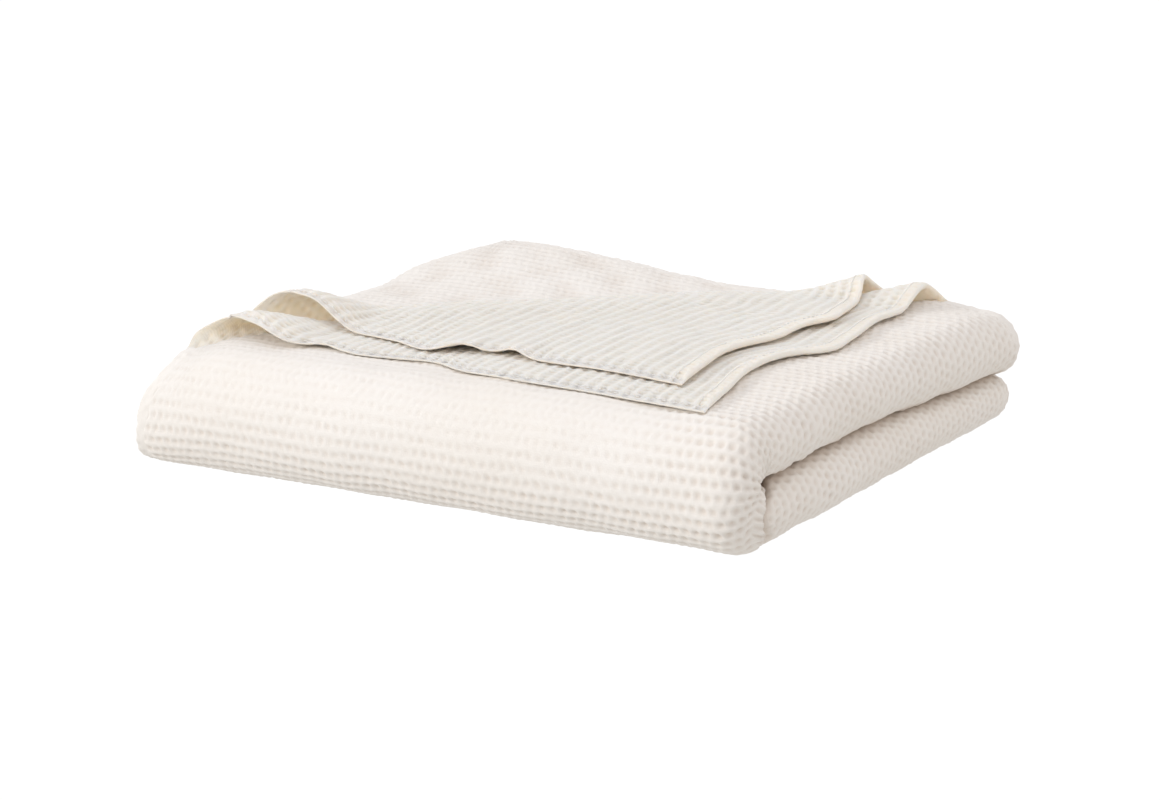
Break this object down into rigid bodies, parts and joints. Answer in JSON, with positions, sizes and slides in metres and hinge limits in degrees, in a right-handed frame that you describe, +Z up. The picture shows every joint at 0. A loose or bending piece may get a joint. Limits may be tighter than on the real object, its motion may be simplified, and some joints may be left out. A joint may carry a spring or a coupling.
{
  "type": "folded throw blanket",
  "caption": "Cotton throw with a waffle weave, folded into a flat rectangular stack, with one back corner turned over in two hemmed layers that swing back together",
  "frame": {"origin": "centre of the underside of the folded stack", "axes": "+X along the front fold, from the left hems to the right folds; +Y to the back edge; +Z up, the shortest way"},
  "size_m": [0.38, 0.35, 0.0802],
  "materials": {
    "waffle_cotton": "matte",
    "cotton_hem": "matte",
    "sewing_thread": "satin"
  },
  "bodies": {
    "folded_stack": {"front_fold_inner": "waffle_cotton", "front_fold_outer": "waffle_cotton", "front_fold_second": "waffle_cotton", "front_fold_third": "waffle_cotton", "layer_2": "waffle_cotton", "layer_2_back_hems": "cotton_hem", "layer_2_left_hems": "cotton_hem", "layer_3": "waffle_cotton", "layer_3_back_hems": "cotton_hem", "layer_4": "waffle_cotton", "layer_4_back_hems": "cotton_hem", "layer_5": "waffle_cotton", "layer_5_back_fold": "waffle_cotton", "layer_6": "waffle_cotton", "layer_6_back_fold": "waffle_cotton", "layer_7": "waffle_cotton", "layer_7_back_fold": "waffle_cotton", "layer_7_left_hems": "cotton_hem", "layer_8": "waffle_cotton", "layer_8_back_fold": "waffle_cotton", "layer_8_left_hems": "cotton_hem", "left_corner_inner": "waffle_cotton", "lower_left_fold": "waffle_cotton", "lower_right_fold_inner": "waffle_cotton", "lower_right_fold_outer": "waffle_cotton", "lower_turned_bend": "waffle_cotton", "right_corner_inner": "waffle_cotton", "right_corner_outer": "waffle_cotton", "second_sheet": "waffle_cotton", "second_sheet_back_hem": "cotton_hem", "top_sheet": "waffle_cotton", "top_sheet_back_hem": "cotton_hem", "upper_left_fold": "waffle_cotton", "upper_right_fold_inner": "waffle_cotton", "upper_right_fold_outer": "waffle_cotton", "upper_turned_bend": "waffle_cotton"},
    "lower_turned_layer": {"lower_turned_back_hem": "cotton_hem", "lower_turned_hem_thread": "sewing_thread", "lower_turned_left_hem": "cotton_hem", "lower_turned_sheet": "waffle_cotton"},
    "upper_turned_layer": {"upper_turned_back_hem": "cotton_hem", "upper_turned_hem_thread": "sewing_thread", "upper_turned_left_hem": "cotton_hem", "upper_turned_sheet": "waffle_cotton"}
  },
  "joints": [
    {"name": "lower_layer_turn", "type": "hinge", "parent": "folded_stack", "child": "lower_turned_layer", "pos_m": [-0.018, 0.0145, 0.08], "axis": [-0.7311, -0.6822, 0], "range_deg": [0, 170], "deforming": ["lower_turned_bend"]},
    {"name": "upper_layer_turn", "type": "hinge", "parent": "folded_stack", "child": "upper_turned_layer", "pos_m": [-0.029, 0.035, 0.08], "axis": [-0.7546, -0.6562, 0], "range_deg": [0, 170], "deforming": ["upper_turned_bend"]}
  ],
  "couplings": [
    {"joint": "upper_layer_turn", "follows": "lower_layer_turn", "ratio": 1}
  ]
}
